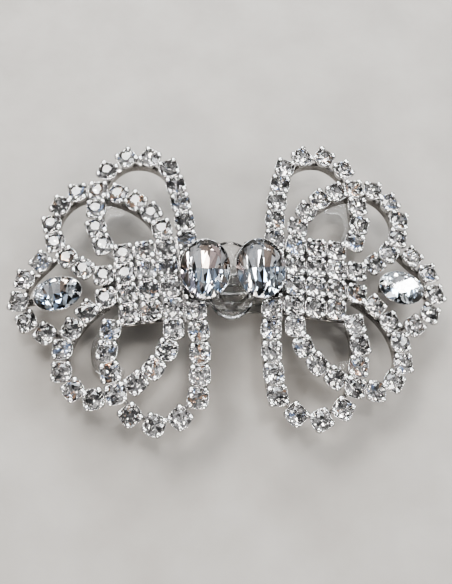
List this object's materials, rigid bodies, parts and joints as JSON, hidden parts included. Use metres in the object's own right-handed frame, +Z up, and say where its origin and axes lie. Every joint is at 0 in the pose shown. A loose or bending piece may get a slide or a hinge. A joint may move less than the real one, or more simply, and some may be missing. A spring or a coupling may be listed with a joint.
{
  "type": "rhinestone butterfly hair clip",
  "caption": "Butterfly hair clip: two openwork rhinestone wings on clear spring-closed jaws, hinged to a clear cradle under two large oval stones.",
  "frame": {"origin": "middle of the flat underside of the closed jaws, midway between the two pivots", "axes": "+X along the pair of wings to the right, +Y to the back, +Z up through the stones"},
  "size_m": [0.0918, 0.0623, 0.0173],
  "materials": {
    "clear_plastic": "clear polished",
    "silver_plate": "bright silver plate",
    "crystal": "clear faceted crystal",
    "clear_glue": "clear glue",
    "pin_steel": "polished",
    "spring_steel": "drawn wire"
  },
  "bodies": {
    "cradle": {"hinge_cradle": "clear_plastic", "right_pivot_pins": "pin_steel", "right_torsion_springs": "spring_steel", "left_pivot_pins": "pin_steel", "left_torsion_springs": "spring_steel"},
    "right_half": {"right_jaw": "clear_plastic", "right_band_plate": "silver_plate", "right_inner_strand_rails": "silver_plate", "right_top_loop_rails": "silver_plate", "right_teardrop_inner_rails": "silver_plate", "right_teardrop_outer_rails": "silver_plate", "right_side_loop_rails": "silver_plate", "right_tail_rail": "silver_plate", "right_stone_cups": "silver_plate", "right_round_stones": "crystal", "right_inner_oval_stone": "crystal", "right_inner_oval_setting": "silver_plate", "right_oval_post": "silver_plate", "right_outer_oval_stone": "crystal", "right_outer_oval_setting": "silver_plate", "right_outer_oval_bar": "silver_plate", "right_glue_pads": "clear_glue"},
    "left_half": {"left_jaw": "clear_plastic", "left_band_plate": "silver_plate", "left_inner_strand_rails": "silver_plate", "left_top_loop_rails": "silver_plate", "left_teardrop_inner_rails": "silver_plate", "left_teardrop_outer_rails": "silver_plate", "left_side_loop_rails": "silver_plate", "left_tail_rail": "silver_plate", "left_stone_cups": "silver_plate", "left_round_stones": "crystal", "left_inner_oval_stone": "crystal", "left_inner_oval_setting": "silver_plate", "left_oval_post": "silver_plate", "left_outer_oval_stone": "crystal", "left_outer_oval_setting": "silver_plate", "left_outer_oval_bar": "silver_plate", "left_glue_pads": "clear_glue"}
  },
  "joints": [
    {"name": "right_pivot", "type": "hinge", "parent": "cradle", "child": "right_half", "pos_m": [0.0034, 0, 0.0137], "axis": [0, -1, 0], "range_deg": [0, 35], "stiffness_Nm_per_rad": 0.02, "springref_deg": -34.38},
    {"name": "left_pivot", "type": "hinge", "parent": "cradle", "child": "left_half", "pos_m": [-0.0034, 0, 0.0137], "axis": [0, 1, 0], "range_deg": [0, 35], "stiffness_Nm_per_rad": 0.02, "springref_deg": -34.38}
  ],
  "couplings": [
    {"joint": "left_pivot", "follows": "right_pivot", "ratio": 1}
  ]
}
